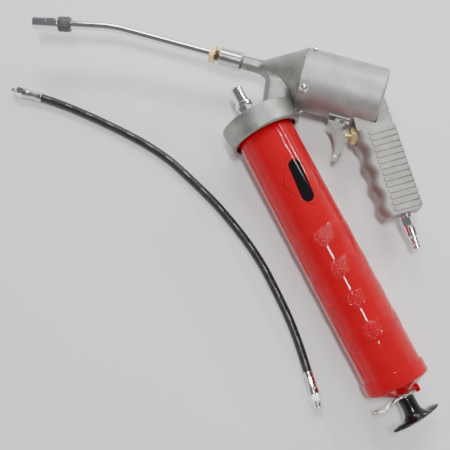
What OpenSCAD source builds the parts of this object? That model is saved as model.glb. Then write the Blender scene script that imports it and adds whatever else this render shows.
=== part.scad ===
// Air-operated pistol-grip grease gun, lying on its side, with its loose whip hose.
// The gun is drawn with the motor axis along X (outlet towards -X) and the grip towards -Y,
// then laid on the ground by lay(). The hose is drawn where it lies.

/* [Air motor] */
// Outside diameter of the motor cylinder
motor_d = 62; // [60:0.5:63]
// Length of the motor cylinder
motor_len = 82; // [80:1:90]
// Wall of the motor cylinder
motor_wall = 2.95; // [2.5:0.05:3.5]
// Thickness of the closed rear end
rear_wall = 6; // [4:1:8]
// Angle of the first cylinder screw, from the upward direction
screw_turn = -38; // [-45:1:-30]
// Head diameter of the cylinder screws
screw_head_d = 9.5; // [8:0.5:11]

/* [Grease barrel] */
// Angle between the barrel and the line square to the motor axis
barrel_angle = 43.5; // [43:0.1:44]
// Distance from the motor axis to the top of the barrel head, along the barrel
head_s = 72; // [71.5:0.1:72.5]
// Outside diameter of the barrel head
head_d = 75; // [72:0.5:75]
// Height of the barrel head
head_h = 22.5; // [22:0.5:26]
// Outside diameter of the barrel tube
barrel_d = 58; // [57:0.5:59]
// Wall of the barrel tube
barrel_wall = 1.2; // [1:0.1:2]
// Length of barrel seen between the head and the end of its cap
barrel_len = 268; // [266:1:270]
// Diameter of the pull rod
rod_d = 8; // [7:0.5:8]
// How far the pull rod comes out
rod_stroke = 190; // [150:5:190]
// Length of the T-handle bar
handle_len = 60; // [50:1:70]

/* [Spout] */
// Outside diameter of the spout tube
spout_d = 9.6; // [9:0.1:10]
// Bend of the spout
spout_bend = 12.4; // [8:0.1:20]
// Radius of the bend
spout_bend_r = 130; // [60:5:150]
// Length of the coupler
coupler_len = 40; // [36:1:44]
// Diameter of the coupler's smooth sleeve
coupler_d = 14.8; // [14.6:0.1:15]

/* [Grip] */
// Slope of the grip from the line square to the motor axis
grip_angle = 33; // [32:0.5:34]
// Thickness of the grip
grip_t = 24; // [22:1:26]
// Length of the grip below its reference point
grip_len = 90.5; // [88:0.5:96]
// Number of ribs on the grip
rib_count = 14; // [10:1:14]
// Distance between ribs
rib_pitch = 6.05; // [5.8:0.05:6.1]

/* [Whip hose] */
// Outside diameter of the hose
hose_d = 8.6; // [8:0.1:9]

/* [Hidden] */
$fn = 64;
fit = 0.05;             // radial clearance of a running fit
eps = 0.1;              // overshoot of a cutter

// how the gun lies: two small turns, then up onto the ground, centred over the origin
lay_roll = -1.02;
lay_pitch = 3.19;
lay_shift = [37.16, 137.25, 35.31];

motor_r = motor_d / 2;
bore_r = motor_r - motor_wall;
spigot_r = bore_r - 0.15;
cylinder_in = motor_len - rear_wall;
plunger_r = 4;
neck_r = 7;
neck_x = -62;           // end of the neck, where the collar starts
cone_x = -40;           // small end of the cone
inlet_x = -20;          // grease inlet into the pump bore
seat_x = -42;           // end of the pump bore
ball_r = 3.5;
ball_x = seat_x - 4.2 - sqrt(ball_r * ball_r - 4);
collar_x = -86.4;
thread_r = 5.6;         // thread of the spout
spout_r = spout_d / 2;
spout_bend_x = -187.3;

barrel_x = -81.9;       // where the barrel axis meets the motor axis
head_r = head_d / 2;
barrel_r = barrel_d / 2;
barrel_in = barrel_r - barrel_wall;
head_end = head_s + head_h;
gasket_s = head_s + 6;
tube_s = gasket_s + 2;
barrel_end = head_end + barrel_len;
cap_r = barrel_r + 1.7;
rod_r = rod_d / 2;
follower_s = tube_s + 4;
spring_s = follower_s + 14;
lever_s = barrel_end + 10.1;
lever_pin_x = 12.5;     // the lock lever's pin, from the rod's centre
handle_s = barrel_end + 12.2;
handle_rise = 19;

// post between the motor's cone and the barrel head: width, half thickness and the top of its slope
post_w = 25.5;
post_h = 16.5;
post_top = 33;

nut_h = 5.7;
loader_t = -5;          // the loader fitting's place across the head

grip_at = [84, -30];    // reference point of the grip
plug_t = 1;             // the air plug's place across the grip
valve_at = [69.6, -42.4];
valve_angle = -73;
pivot_at = [50.5, -37];
pin_at = [53.4, -43.8]; // cross pin that pushes the valve

coupler_s = 29.5;       // where the coupler starts, from the end of the bend
coupler_r = coupler_d / 2;
hose_r = hose_d / 2;

hose_lift = [1.4, 1, 0.4]; // the stiff ends hold the first rings off the ground

// route of the whip hose on the ground beside the gun, from one fitting to the other
hose_route = [
    [-274.5, -81.2], [-258, -81.5], [-241, -82.8], [-225, -84.6], [-208, -87.1], [-191, -89.9],
    [-174, -93], [-158, -96.3], [-142, -100.2], [-126, -105], [-110, -110.8], [-95, -117.9],
    [-80, -125.6], [-65, -133.6], [-50, -142], [-36, -151], [-22, -160.5], [-8.5, -170.4],
    [5, -181.4], [18, -193.4], [30, -206], [42, -219], [53.5, -232.2], [64, -245.6],
    [73, -258.2], [81, -270], [89.4, -283]
];

// ---------- places ----------

module lay() translate(lay_shift) rotate([lay_roll, lay_pitch, 0]) children();

// local Z along the motor axis, towards the rear, from x
module on_motor(x) translate([x, 0, 0]) rotate([0, 90, 0]) children();

// local Z towards the T-handle, X towards the motor, from s along the barrel
module on_barrel(s) translate([barrel_x, 0, 0]) rotate([90, 0, barrel_angle]) translate([0, 0, s]) children();

// local Z down the grip, X towards its back, from s along the grip
module on_grip(s) translate(grip_at) rotate([90, 0, grip_angle]) translate([0, 0, s]) children();

// local Z out of the air valve, towards the trigger
module on_valve(s) translate(valve_at) rotate([90, 0, valve_angle]) translate([0, 0, s]) children();

// local Z towards the coupler's mouth, from the end of the spout's bend
module on_coupler(s)
    translate([spout_bend_x - spout_bend_r * sin(spout_bend), -spout_bend_r * (1 - cos(spout_bend)), 0])
        rotate([90, 0, spout_bend - 90]) translate([0, 0, s]) children();

// on the ground beside the gun
module on_ground() translate([lay_shift[0], lay_shift[1], 0]) children();

// local Z outwards along the hose at its first (0) or last (1) point
module on_hose_end(last) {
    count = len(hose_route);
    tip = last == 1 ? hose_route[count - 1] : hose_route[0];
    before = last == 1 ? hose_route[count - 2] : hose_route[1];
    way = tip - before;
    translate([tip[0], tip[1], hose_r + hose_lift[0]]) rotate([0, 90, atan2(way[1], way[0])]) children();
}

// ---------- shapes ----------

module ring(r_out, r_in, h) difference() {
    cylinder(r = r_out, h = h);
    translate([0, 0, -eps]) cylinder(r = r_in, h = h + 2 * eps);
}

module hex(flats, h) cylinder(r = flats / sqrt(3), h = h, $fn = 6);

module o_ring(r, wire) rotate_extrude() translate([r, 0]) circle(r = wire / 2, $fn = 24);

// coil spring along +Z, closed at its ends by plain discs of wire
module coil(r, wire, turns, length, steps = 14) {
    sides = 6;
    rings = turns * steps;
    points = [for (i = [0 : rings]) for (k = [0 : sides - 1])
        let (a = 360 * i / steps, b = 360 * k / sides, w = wire / 2)
        [(r + w * cos(b)) * cos(a), (r + w * cos(b)) * sin(a),
         w + (length - wire) * i / rings + w * sin(b)]];
    walls = [for (i = [0 : rings - 1]) for (k = [0 : sides - 1])
        let (n = (k + 1) % sides)
        [i * sides + k, i * sides + n, (i + 1) * sides + n, (i + 1) * sides + k]];
    first = [for (k = [sides - 1 : -1 : 0]) k];
    last = [for (k = [0 : sides - 1]) rings * sides + k];
    polyhedron(points, concat(walls, [first, last]));
}

// height of the hose's centre at ring i
function hose_height(i) = let (k = min(i, len(hose_route) - 1 - i))
    hose_r + (k < len(hose_lift) ? hose_lift[k] : 0);

// round tube swept along the hose's route
module swept_hose() {
    sides = 10;
    count = len(hose_route);
    points = [for (i = [0 : count - 1])
        let (a = hose_route[max(i - 1, 0)], b = hose_route[min(i + 1, count - 1)], d = (b - a) / norm(b - a))
        for (k = [0 : sides - 1])
        let (c = 360 * k / sides, p = hose_route[i])
        [p[0] - d[1] * hose_r * cos(c), p[1] + d[0] * hose_r * cos(c), hose_height(i) + hose_r * sin(c)]];
    walls = [for (i = [0 : count - 2]) for (k = [0 : sides - 1])
        let (n = (k + 1) % sides)
        [i * sides + k, (i + 1) * sides + k, (i + 1) * sides + n, i * sides + n]];
    first = [for (k = [0 : sides - 1]) k];
    last = [for (k = [sides - 1 : -1 : 0]) (count - 1) * sides + k];
    polyhedron(points, concat(walls, [first, last]));
}

// ---------- pump head ----------

// local X across the post from its outer edge, local Y up the post towards the cone
module on_post() translate([-30.5, -35.5, 0]) rotate([0, 0, 9]) children();

// rounded rectangle from x = 0, centred on y = 0
function rounded_box(w, d, r) = [
    for (corner = [[w - r, d / 2 - r, 0], [r, d / 2 - r, 90], [r, r - d / 2, 180], [w - r, r - d / 2, 270]])
        for (a = [0 : 18 : 90])
            [corner[0] + r * cos(corner[2] + a), corner[1] + r * sin(corner[2] + a)]];

module head_casting() color("silver") difference() {
    union() {
        on_motor(0) rotate_extrude($fn = 96) polygon([
            [0, neck_x - 8], [6, neck_x - 8], [6, neck_x], [neck_r - 0.5, neck_x],
            [neck_r, neck_x + 0.5], [neck_r, cone_x - 5], [7.3, cone_x - 3], [8.2, cone_x],
            [motor_r - 0.6, -1.6], [motor_r, -0.8], [motor_r, -0.1], [spigot_r, -0.1],
            [spigot_r, 10], [0, 10]]);
        // barrel head
        on_barrel(head_s) rotate_extrude($fn = 128) polygon([
            [0, 0], [head_r - 1, 0], [head_r - 0.3, 0.3], [head_r, 1], [head_r, head_h - 1.5],
            [head_r - 1.5, head_h], [0, head_h]]);
        // post between the cone and the barrel head, ending just inside the head
        difference() {
            on_post() intersection() {
                translate([0, post_top, 0]) rotate([90, 0, 0])
                    linear_extrude(60) polygon(rounded_box(post_w, 2 * post_h, 7));
                translate([-1, 0, 0]) rotate([0, 90, 0]) linear_extrude(post_w + 2) polygon([
                    [-post_h - 1, post_top - 60], [post_h + 1, post_top - 60], [post_h + 1, 17],
                    [post_h - 1.5, 23], [post_h - 9, post_top], [9 - post_h, post_top],
                    [1.5 - post_h, 23], [-post_h - 1, 17]]);
            }
            on_barrel(head_s + 1) translate([-60, -60, 0]) cube([120, 120, 90]);
        }
    }
    on_motor(seat_x) cylinder(r = plunger_r + fit, h = 60);
    on_motor(2) cylinder(r = 8 + fit, h = 9);
    on_motor(seat_x - 5) cylinder(r = 2, h = 6);
    on_motor(neck_x - 9) cylinder(r = 4.2, h = seat_x - 4.2 - neck_x + 9);
    // grease inlet
    translate([inlet_x, 0, 0]) rotate([90, 0, 0]) cylinder(r = 3, h = 50);
    // barrel socket and its wider mouth
    on_barrel(gasket_s) cylinder(r = barrel_r + fit, h = head_h);
    on_barrel(head_end - 4.5) cylinder(r = barrel_r + 3.2, h = 5);
    // loader port
    on_barrel(head_s - 1) translate([loader_t, 0, 0]) cylinder(r = 4.6, h = 8);
    screw_ring() translate([0, 0, spigot_r - 8]) cylinder(r = 2.05, h = 12);
}

module loader_washer() color("gainsboro")
    on_barrel(head_s - 1.6) translate([loader_t, 0, 0]) ring(8.2, 4.7, 1.5);

module loader_body() color("whitesmoke")
    on_barrel(head_s - 36) translate([loader_t, 0, 0]) difference() {
        union() {
            rotate_extrude() polygon([
                [0, 0], [6, 0], [7.1, 1.1], [7.1, 17], [9, 17.6], [9, 21], [8.4, 21.8], [0, 21.8]]);
            translate([0, 0, 21.7]) hex(14, 12.6);
            translate([0, 0, 34.2]) cylinder(r = 4.5, h = 7.6);
        }
        translate([0, 0, -eps]) cylinder(r = 4.5, h = 9);
        translate([0, 0, 8]) cylinder(r = 2.5, h = 4);
        translate([0, 0, 11.5]) cylinder(r = 3.2, h = 31);
    }

module loader_poppet() color("gold")
    on_barrel(head_s - 36) translate([loader_t, 0, 0]) {
            translate([0, 0, 9]) cylinder(r = 2.1, h = 3);
        translate([0, 0, 11.6]) cylinder(r = 2.8, h = 3);
    }

module loader_spring() color("silver")
    on_barrel(head_s - 21.2) translate([loader_t, 0, 0]) coil(2.2, 0.6, 6, 20);

module outlet_collar() color("lightgray") on_motor(collar_x) difference() {
    rotate_extrude() polygon([
        [0, 0], [8.6, 0], [9.5, 0.9], [9.5, 22.6], [8, 24.3], [0, 24.3]]);
    translate([0, 0, -eps]) cylinder(r = thread_r + fit, h = 8);
    translate([0, 0, 7]) cylinder(r = 2.5, h = 12);
    translate([0, 0, 16]) cylinder(r = 6 + fit, h = 9);
}

module check_ball() color("silver") on_motor(ball_x - 0.05) sphere(r = ball_r);

module check_spring() color("silver") on_motor(neck_x - 8.2) coil(2.4, 0.6, 6, 17.2);

module plunger_packing() color("saddlebrown") on_motor(2.1) ring(8, plunger_r + fit, 7);

// ---------- air motor ----------

module screw_ring() for (i = [0 : 3])
    translate([6, 0, 0]) rotate([screw_turn * -1 + 90 * i, 0, 0]) children();

module cylinder_sleeve() color("lightsteelblue") difference() {
    on_motor(0) rotate_extrude($fn = 128) polygon(concat(
        [[0, 0], [motor_r - 0.4, 0], [motor_r, 0.4]],
        [for (a = [0 : 15 : 90]) [motor_r - 4 + 4 * cos(a), motor_len - 4 + 4 * sin(a)]],
        [[0, motor_len]]));
    on_motor(-1) cylinder(r = bore_r, h = cylinder_in + 1, $fn = 96);
    screw_ring() translate([0, 0, spigot_r - 1]) cylinder(r = 2.2, h = 6);
    screw_ring() translate([0, 0, motor_r - 0.12]) cylinder(r = screw_head_d / 2 + 0.2, h = 5);
    // air port over the valve
    translate([74.3, -24, 0]) rotate([90, 0, 0]) cylinder(r = 1.4, h = 10);
    for (z = [-6, 6]) translate([cylinder_in + 1, -12, z]) rotate([0, 90, 0]) cylinder(r = 2.05, h = 8);
}

module cylinder_screws() color("whitesmoke") screw_ring() difference() {
    union() {
        translate([0, 0, spigot_r - 7]) cylinder(r = 2, h = 10);
        translate([0, 0, motor_r - 0.1]) rotate_extrude() polygon(concat(
            [[0, 0], [screw_head_d / 2, 0]],
            [for (a = [0 : 15 : 90]) [screw_head_d / 2 * cos(a), 1 + 2.9 * sin(a)]]));
    }
    for (a = [0, 90]) rotate([0, 0, a]) translate([-2.4, -0.5, motor_r + 2]) cube([4.8, 1, 3]);
}

module air_piston() color("lightgray") on_motor(62) difference() {
    union() {
        cylinder(r = bore_r - fit, h = 10, $fn = 96);
        translate([0, 0, -6]) cylinder(r = 8, h = 7);
    }
    translate([0, 0, 3]) difference() {
        cylinder(r = bore_r + 1, h = 4);
        translate([0, 0, -eps]) cylinder(r = bore_r - 3, h = 4.2);
    }
    translate([0, 0, -7]) cylinder(r = plunger_r - 0.5 + fit, h = 18);
}

module piston_seal() color("dimgray")
    on_motor(65.1) ring(bore_r - fit, bore_r - 2.9, 3.8);

module pump_plunger() color("silver") {
    on_motor(-14) cylinder(r = plunger_r, h = 69.9);
    on_motor(55.8) cylinder(r = plunger_r - 0.5, h = 16.1);
}

module piston_spring() color("silver") on_motor(10.1) coil(20, 2.4, 7, 51.7, 20);

// ---------- grip ----------

// side view of the grip: finger grooves in front, straight back
grip_outline = concat(
    [[16.3, -28.5], [-20, -16], [-21.2, 3]],
    [for (z = [7 : 3 : 88]) [-21.9 - 1.9 * cos(360 * (z - 11) / 23), z]],
    [[-20.4, grip_len], [14.2, grip_len], [15, grip_len - 3], [15.2, 4], [16.6, -6]]);

// the grip's rounded section, as long as the grip
module grip_section(out) {
    half = grip_t / 2 + out;
    translate([-18, -half, -40]) cube([30, 2 * half, 140]);
    translate([-26, -half + 8, -40]) cube([43 + out, 2 * half - 16, 140]);
    for (side = [-1, 1]) {
        translate([-18, side * (half - 8), -40]) cylinder(r = 8, h = 140);
        translate([11, side * (half - 6), -40]) cylinder(r = 6 + out, h = 140);
    }
}

module rib_outline() translate([-11 + 2.4, 0]) {
    circle(r = 2.4, $fn = 32);
    translate([0, -2.4]) square([26, 4.8]);
}

module grip_casting() color("darkgray") difference() {
    union() {
        on_grip(0) intersection() {
            rotate([90, 0, 0]) linear_extrude(grip_t, center = true) polygon(grip_outline);
            grip_section(0);
        }
        for (i = [0 : rib_count - 1]) on_grip(6.2 + rib_pitch * i) intersection() {
            rotate([90, 0, 0]) linear_extrude(grip_t + 2, center = true) rib_outline();
            grip_section(0.7);
        }
    }
    on_motor(-1) cylinder(r = motor_r + 0.1, h = motor_len + 1.15, $fn = 128);
    // air passage, valve chamber and plug thread
    on_grip(4) translate([plug_t, 0, 0]) cylinder(r = 3.6, h = 90);
    on_grip(grip_len - 13) translate([plug_t, 0, 0]) cylinder(r = 6 + fit, h = 14);
    on_valve(-26) cylinder(r = 4.6, h = 20);
    on_valve(-12.2) cylinder(r = 5 + fit, h = 13);
    on_valve(0) cylinder(r = 9.5, h = 20);
    for (z = [-6, 6]) {
        translate([82, -12, z]) rotate([0, 90, 0]) cylinder(r = 2.05, h = 20);
        translate([86.5, -12, z]) rotate([0, 90, 0]) cylinder(r = 3.9, h = 20);
    }
}

module grip_screws() color("dimgray") for (z = [-6, 6]) translate([77.2, -12, z]) rotate([0, 90, 0]) {
    cylinder(r = 2, h = 9.5);
    translate([0, 0, 9.4]) difference() {
        cylinder(r = 3.7, h = 4);
        translate([0, 0, 2]) hex(3, 3);
    }
}

module trigger_bracket() color("lightslategray") difference() {
    union() {
        translate([36, -32.6, -8.5]) cube([22, 8, 17]);
        translate([43, -36, -5.5]) cube([15, 8, 11]);
        translate([pivot_at[0], pivot_at[1], -5.5]) cylinder(r = 4.6, h = 11);
    }
    on_motor(30) cylinder(r = motor_r + 0.1, h = 40, $fn = 128);
    translate([pivot_at[0], pivot_at[1], -9]) cylinder(r = 2 + fit, h = 18);
}

module trigger_screw() color("whitesmoke") translate(pivot_at) difference() {
    union() {
        translate([0, 0, -8.4]) cylinder(r = 2, h = 17);
        translate([0, 0, 8.4]) rotate_extrude() polygon([[0, 0], [3, 0], [3, 0.8], [2.2, 1.4], [0, 1.4]]);
        translate([0, 0, -9.6]) cylinder(r = 2.6, h = 1.2);
    }
    translate([-3, -0.35, 9.2]) cube([6, 0.7, 1]);
}

// crescent of the trigger between two arcs, hung from its pivot
module trigger_shape(front_r, half) difference() {
    union() {
        translate([33, -58, -half]) cylinder(r = 26.3, h = 2 * half, $fn = 96);
        translate([pivot_at[0], pivot_at[1], -half]) cylinder(r = 4.2, h = 2 * half);
    }
    translate([17, -66, -half - 1]) cylinder(r = front_r, h = 2 * half + 2, $fn = 96);
    translate([0, -37.2, -half - 1]) cube([46.3, 40, 2 * half + 2]);
    translate([54.7, -37.2, -half - 1]) cube([20, 40, 2 * half + 2]);
    translate([0, -32.8, -half - 1]) cube([80, 40, 2 * half + 2]);
    translate([0, -112, -half - 1]) cube([80, 40, 2 * half + 2]);
    translate([0, -60, -half - 1]) cube([37.5, 40, 2 * half + 2]);
}

module trigger() color("lightsteelblue") difference() {
    trigger_shape(34.5, 8);
    difference() {
        trigger_shape(36.7, 6);
        translate([40, -80, -10]) cube([20, 11, 20]);
    }
    translate([pivot_at[0], pivot_at[1], -9]) cylinder(r = 2 + fit, h = 18);
    translate([pin_at[0], pin_at[1], -9]) cylinder(r = 1.8 + fit, h = 18);
    translate([43, -42, -6]) cube([16, 12, 12]);
}

module trigger_pin() color("whitesmoke") translate([pin_at[0], pin_at[1], -8]) cylinder(r = 1.8, h = 16);

module valve_body() color("goldenrod") difference() {
    union() {
        on_valve(0.05) hex(15, 7.5);
        on_valve(-12) cylinder(r = 5, h = 13);
    }
    on_valve(-13) cylinder(r = 2 + fit, h = 22);
}

module valve_stem() color("gold") {
    on_valve(-14) cylinder(r = 2, h = 27);
    on_valve(10.6) rotate_extrude() polygon([[0, 0], [3.4, 0], [4, 0.6], [4, 2.6], [3.2, 3.2], [0, 3.2]]);
    on_valve(-16.5) cylinder(r = 3.8, h = 2.6);
}

module valve_seal() color("dimgray") on_valve(-13) o_ring(2.9, 1.4);

module valve_spring() color("silver") on_valve(-24.6) coil(2.6, 0.6, 6, 8);

module air_plug() color("whitesmoke") on_grip(0) translate([plug_t, 0, 0]) difference() {
    union() {
        translate([0, 0, grip_len - 12]) cylinder(r = 6, h = 12.1);
        translate([0, 0, grip_len]) cylinder(r = 6.75, h = 4.2);
        translate([0, 0, grip_len + 4]) hex(14.3, 8);
        translate([0, 0, grip_len + 12]) rotate_extrude() polygon([
            [0, 0], [7, 0], [5.75, 2], [5.75, 10.5], [4, 12], [4, 17], [5.5, 17.4], [5.5, 18.6],
            [4.25, 19.4], [4.25, 22.8], [3.6, 23.4], [0, 23.4]]);
    }
    translate([0, 0, grip_len - 13]) cylinder(r = 2.6, h = 52);
}

// ---------- spout and coupler ----------

module lock_nut() color("goldenrod") on_motor(-96.3) difference() {
    intersection() {
        hex(17, nut_h);
        rotate_extrude() polygon([
            [0, 0], [8.9, 0], [9.9, 0.8], [9.9, nut_h - 0.8], [8.9, nut_h], [0, nut_h]]);
    }
    translate([0, 0, -1]) cylinder(r = thread_r + fit, h = nut_h + 2);
}

module spout_tube() color("whitesmoke") difference() {
    union() {
        on_motor(spout_bend_x) cylinder(r = spout_r, h = -spout_bend_x - 90);
        on_motor(spout_bend_x - 1) cylinder(r = 3.5, h = 2);
        on_motor(-99.5) rotate_extrude() polygon([
            [0, 0], [spout_r, 0], [thread_r, 0.8], [thread_r, 20], [thread_r - 0.6, 20.4], [0, 20.4]]);
        translate([spout_bend_x, -spout_bend_r, 0]) rotate([0, 0, 90])
            rotate_extrude(angle = spout_bend, $fn = 180) translate([spout_bend_r, 0]) circle(r = spout_r);
        on_coupler(0) cylinder(r = spout_r, h = coupler_s + 8);
        on_coupler(-1) cylinder(r = 3.5, h = 2);
    }
    on_motor(spout_bend_x) cylinder(r = 2.2, h = 120);
    translate([spout_bend_x, -spout_bend_r, 0]) rotate([0, 0, 90])
        rotate_extrude(angle = spout_bend, $fn = 180) translate([spout_bend_r, 0]) circle(r = 2.2);
    on_coupler(0) cylinder(r = 2.2, h = coupler_s + 9);
}

module coupler_body() color("gray") on_coupler(coupler_s) difference() {
    rotate_extrude() polygon([
        [0, 0], [6.2, 0], [7.9, 1.7], [7.9, 12.4], [7.4, 12.9], [5.8, 12.9], [5.8, 20], [0, 20]]);
    translate([0, 0, -eps]) cylinder(r = spout_r + fit, h = 8.2);
    translate([0, 0, 8]) cylinder(r = 2, h = 13);
}

module coupler_sleeve() color("whitesmoke") on_coupler(coupler_s + 13) difference() {
    rotate_extrude() polygon(concat(
        [[0, 0], [coupler_r, 0]],
        [for (a = [0 : 18 : 90]) [coupler_r - 2 + 2 * cos(a), coupler_len - 15 + 2 * sin(a)]],
        [[0, coupler_len - 13]]));
    translate([0, 0, -eps]) cylinder(r = 5.8 + fit, h = coupler_len - 16 + eps);
    translate([0, 0, coupler_len - 17]) cylinder(r = 4.3, h = 5);
    for (side = [0, 180]) rotate([0, 0, side]) translate([coupler_r - 0.5, -8, 4]) cube([3, 16, 8.5]);
    for (side = [90, 270]) rotate([0, 0, side]) translate([coupler_r - 0.5, -8, 4]) cube([3, 16, 8.5]);
}

module coupler_jaws() color("dimgray") on_coupler(coupler_s + 29.6) difference() {
    ring(5.6, 3.4, 6.2);
    for (a = [0, 90]) rotate([0, 0, a]) translate([-7, -0.5, -1]) cube([14, 1, 9]);
}

module coupler_seal() color("black") on_coupler(coupler_s + 27.2) ring(5.2, 2, 2.2);

module coupler_spring() color("silver") on_coupler(coupler_s + 20.2) coil(4.2, 0.9, 4, 6.8);

// ---------- grease barrel ----------

module head_gasket() color("black") on_barrel(gasket_s) ring(barrel_r, 22, 1.9);

module barrel_tube() color("red") on_barrel(tube_s) ring(barrel_r, barrel_in, barrel_end - 1.6 - tube_s, $fn = 128);

module barrel_end_cap() color("firebrick") difference() {
    union() {
        on_barrel(barrel_end - 14) rotate_extrude($fn = 128) polygon([
            [0, 0], [cap_r, 0], [cap_r, 12.4], [cap_r - 0.9, 13.7], [11, 20], [9, 20.6], [9, 22.6], [0, 22.6]]);
        // ears of the lock lever
        on_barrel(barrel_end + 2) translate([9.8, -6, 0]) cube([6, 12, 11.4]);
    }
    on_barrel(barrel_end - 15) cylinder(r = barrel_r + 0.05, h = 13.5, $fn = 128);
    on_barrel(barrel_end - 5) rotate_extrude($fn = 96) polygon([
        [0, 0], [barrel_in, 0], [barrel_in, 3.4], [9.5, 9.4], [0, 9.4]]);
    on_barrel(barrel_end) cylinder(r = 6 + fit, h = 12);
    on_barrel(barrel_end + 7.2) translate([9.2, -3.3, 0]) cube([9, 6.6, 8]);
    on_lever_pin(20) cylinder(r = 1.2 + fit, h = 40);
}

module rod_bushing() color("tan") on_barrel(barrel_end + 0.1) ring(6, rod_r + fit, 8.4);

module follower_piston() color("dimgray") on_barrel(follower_s) difference() {
    rotate_extrude($fn = 96) polygon([
        [0, 0], [20, 0], [24, 1.5], [24, 9], [26.6, 9], [26.6, 12], [0, 12]]);
    translate([0, 0, 3]) ring(22, 9, 10);
    translate([0, 0, -1]) cylinder(r = rod_r - 1 + fit, h = 20);
}

module follower_seal() color("black") on_barrel(follower_s) rotate_extrude($fn = 96) polygon([
    [24.1, 1.7], [25.4, 1.7], [barrel_in - fit, 0.2], [barrel_in - fit, 5.5], [26.6, 8.8], [24.1, 8.8]]);

module follower_spring() color("silver")
    on_barrel(spring_s) coil(23.6, 2.2, 13, barrel_end - 2.2 - spring_s, 20);

module plunger_rod() color("silver") {
    on_barrel(follower_s + 12.05) cylinder(r = rod_r, h = handle_s - follower_s - 5);
    on_barrel(follower_s - 2.6) cylinder(r = rod_r - 1, h = 15);
}

module rod_stop_ring() color("gray") on_barrel(follower_s - 2.6) ring(6.5, rod_r - 1, 2.4);

module t_handle() color("black") on_barrel(handle_s) rotate([0, 0, -30]) difference() {
    union() {
        rotate_extrude() polygon([
            [0, 0], [7, 0], [7.8, 0.8], [8, 9], [8.4, handle_rise - 4], [10, handle_rise],
            [10, handle_rise + 5], [0, handle_rise + 5]]);
        translate([0, 0, handle_rise]) {
            translate([9 - handle_len / 2, -9, 0]) cube([handle_len - 18, 18, 5]);
            for (side = [-1, 1]) translate([side * (handle_len / 2 - 9), 0, 0]) cylinder(r = 9, h = 5);
        }
        // webs that spread the stem's load into the bar
        rotate([90, 0, 0]) translate([0, 0, -5]) linear_extrude(10) polygon([
            [-7.5, handle_rise - 9], [7.5, handle_rise - 9], [9.5, handle_rise - 4],
            [18, handle_rise + 1], [-18, handle_rise + 1], [-9.5, handle_rise - 4]]);
    }
    translate([0, 0, -eps]) cylinder(r = rod_r + fit, h = 7.3);
}

// local Z along the lock lever's pin, from y
module on_lever_pin(y)
    on_barrel(lever_s + 0.8) translate([lever_pin_x, y, 0]) rotate([90, 0, 0]) children();

// side view of the lock lever: flat round the rod, with a thumb tab bent away from the barrel and back
lever_t = 1.6;
lever_outline = [
    [9, 0], [-9.5, 0], [-20.5, 4.6], [-31.3, 2.5], [-31.6, 4.1], [-20.3, 6.3], [-9.2, lever_t], [9, lever_t]];

module lock_lever() color("gainsboro") difference() {
    union() {
        on_barrel(lever_s) rotate([90, 0, 0]) linear_extrude(12, center = true) polygon(lever_outline);
        on_barrel(lever_s) translate([8.5, -3, 0]) cube([lever_pin_x - 8.5, 6, lever_t]);
        on_lever_pin(3) cylinder(r = 2.3, h = 6);
    }
    on_barrel(lever_s - 1) cylinder(r = rod_r + 0.6, h = 4);
    on_lever_pin(20) cylinder(r = 1.2 + fit, h = 40);
}

module lever_pin() color("gray") on_lever_pin(6) cylinder(r = 1.2, h = 12);

// ---------- whip hose ----------

module hose_tube() color("black") swept_hose();

module hose_ferrules() color("silver") for (last = [0, 1]) on_hose_end(last) difference() {
    translate([0, 0, -8]) rotate_extrude() polygon([
        [0, 0], [5, 0], [5, 15], [5.6, 18], [5.6, 21.4], [5, 22], [0, 22]]);
    translate([0, 0, -9]) cylinder(r = hose_r + 0.05, h = 9);
}

module hose_fittings() color("lightgray") for (last = [0, 1]) on_hose_end(last) difference() {
    union() {
        translate([0, 0, 14.1]) rotate([0, 0, 30]) hex(11, 7);
        translate([0, 0, 21]) cylinder(r = 4.9, h = 6.5);
    }
    translate([0, 0, 13]) cylinder(r = 1.8, h = 20);
}

lay() head_casting();
lay() loader_washer();
lay() loader_body();
lay() loader_poppet();
lay() loader_spring();
lay() outlet_collar();
lay() check_ball();
lay() check_spring();
lay() plunger_packing();
lay() cylinder_sleeve();
lay() cylinder_screws();
lay() air_piston();
lay() piston_seal();
lay() pump_plunger();
lay() piston_spring();
lay() grip_casting();
lay() grip_screws();
lay() trigger_bracket();
lay() trigger_screw();
lay() trigger();
lay() trigger_pin();
lay() valve_body();
lay() valve_stem();
lay() valve_seal();
lay() valve_spring();
lay() air_plug();
lay() lock_nut();
lay() spout_tube();
lay() coupler_body();
lay() coupler_sleeve();
lay() coupler_jaws();
lay() coupler_seal();
lay() coupler_spring();
lay() head_gasket();
lay() barrel_tube();
lay() barrel_end_cap();
lay() rod_bushing();
lay() lock_lever();
lay() lever_pin();
lay() follower_piston();
lay() follower_seal();
lay() follower_spring();
lay() plunger_rod();
lay() rod_stop_ring();
lay() t_handle();
on_ground() hose_tube();
on_ground() hose_ferrules();
on_ground() hose_fittings();
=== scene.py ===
"""Finished pieces, materials and stage for an air-operated grease gun with a loose whip hose."""

import math

import bmesh
import bpy
from mathutils import Matrix, Vector


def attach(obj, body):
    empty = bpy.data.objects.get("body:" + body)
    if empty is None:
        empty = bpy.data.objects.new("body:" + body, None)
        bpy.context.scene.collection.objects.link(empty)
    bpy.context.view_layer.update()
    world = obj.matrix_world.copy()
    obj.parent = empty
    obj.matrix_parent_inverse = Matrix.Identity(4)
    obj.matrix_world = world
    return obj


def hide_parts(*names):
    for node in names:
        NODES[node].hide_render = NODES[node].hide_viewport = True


bl_info = {
    "name": "Grease Gun Workshop",
    "version": (1, 0, 0),
    "blender": (4, 5, 0),
    "location": "View3D > Sidebar > Grease Gun",
    "description": "Builds the finished pieces of an air-operated grease gun",
    "category": "Add Mesh",
}

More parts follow.
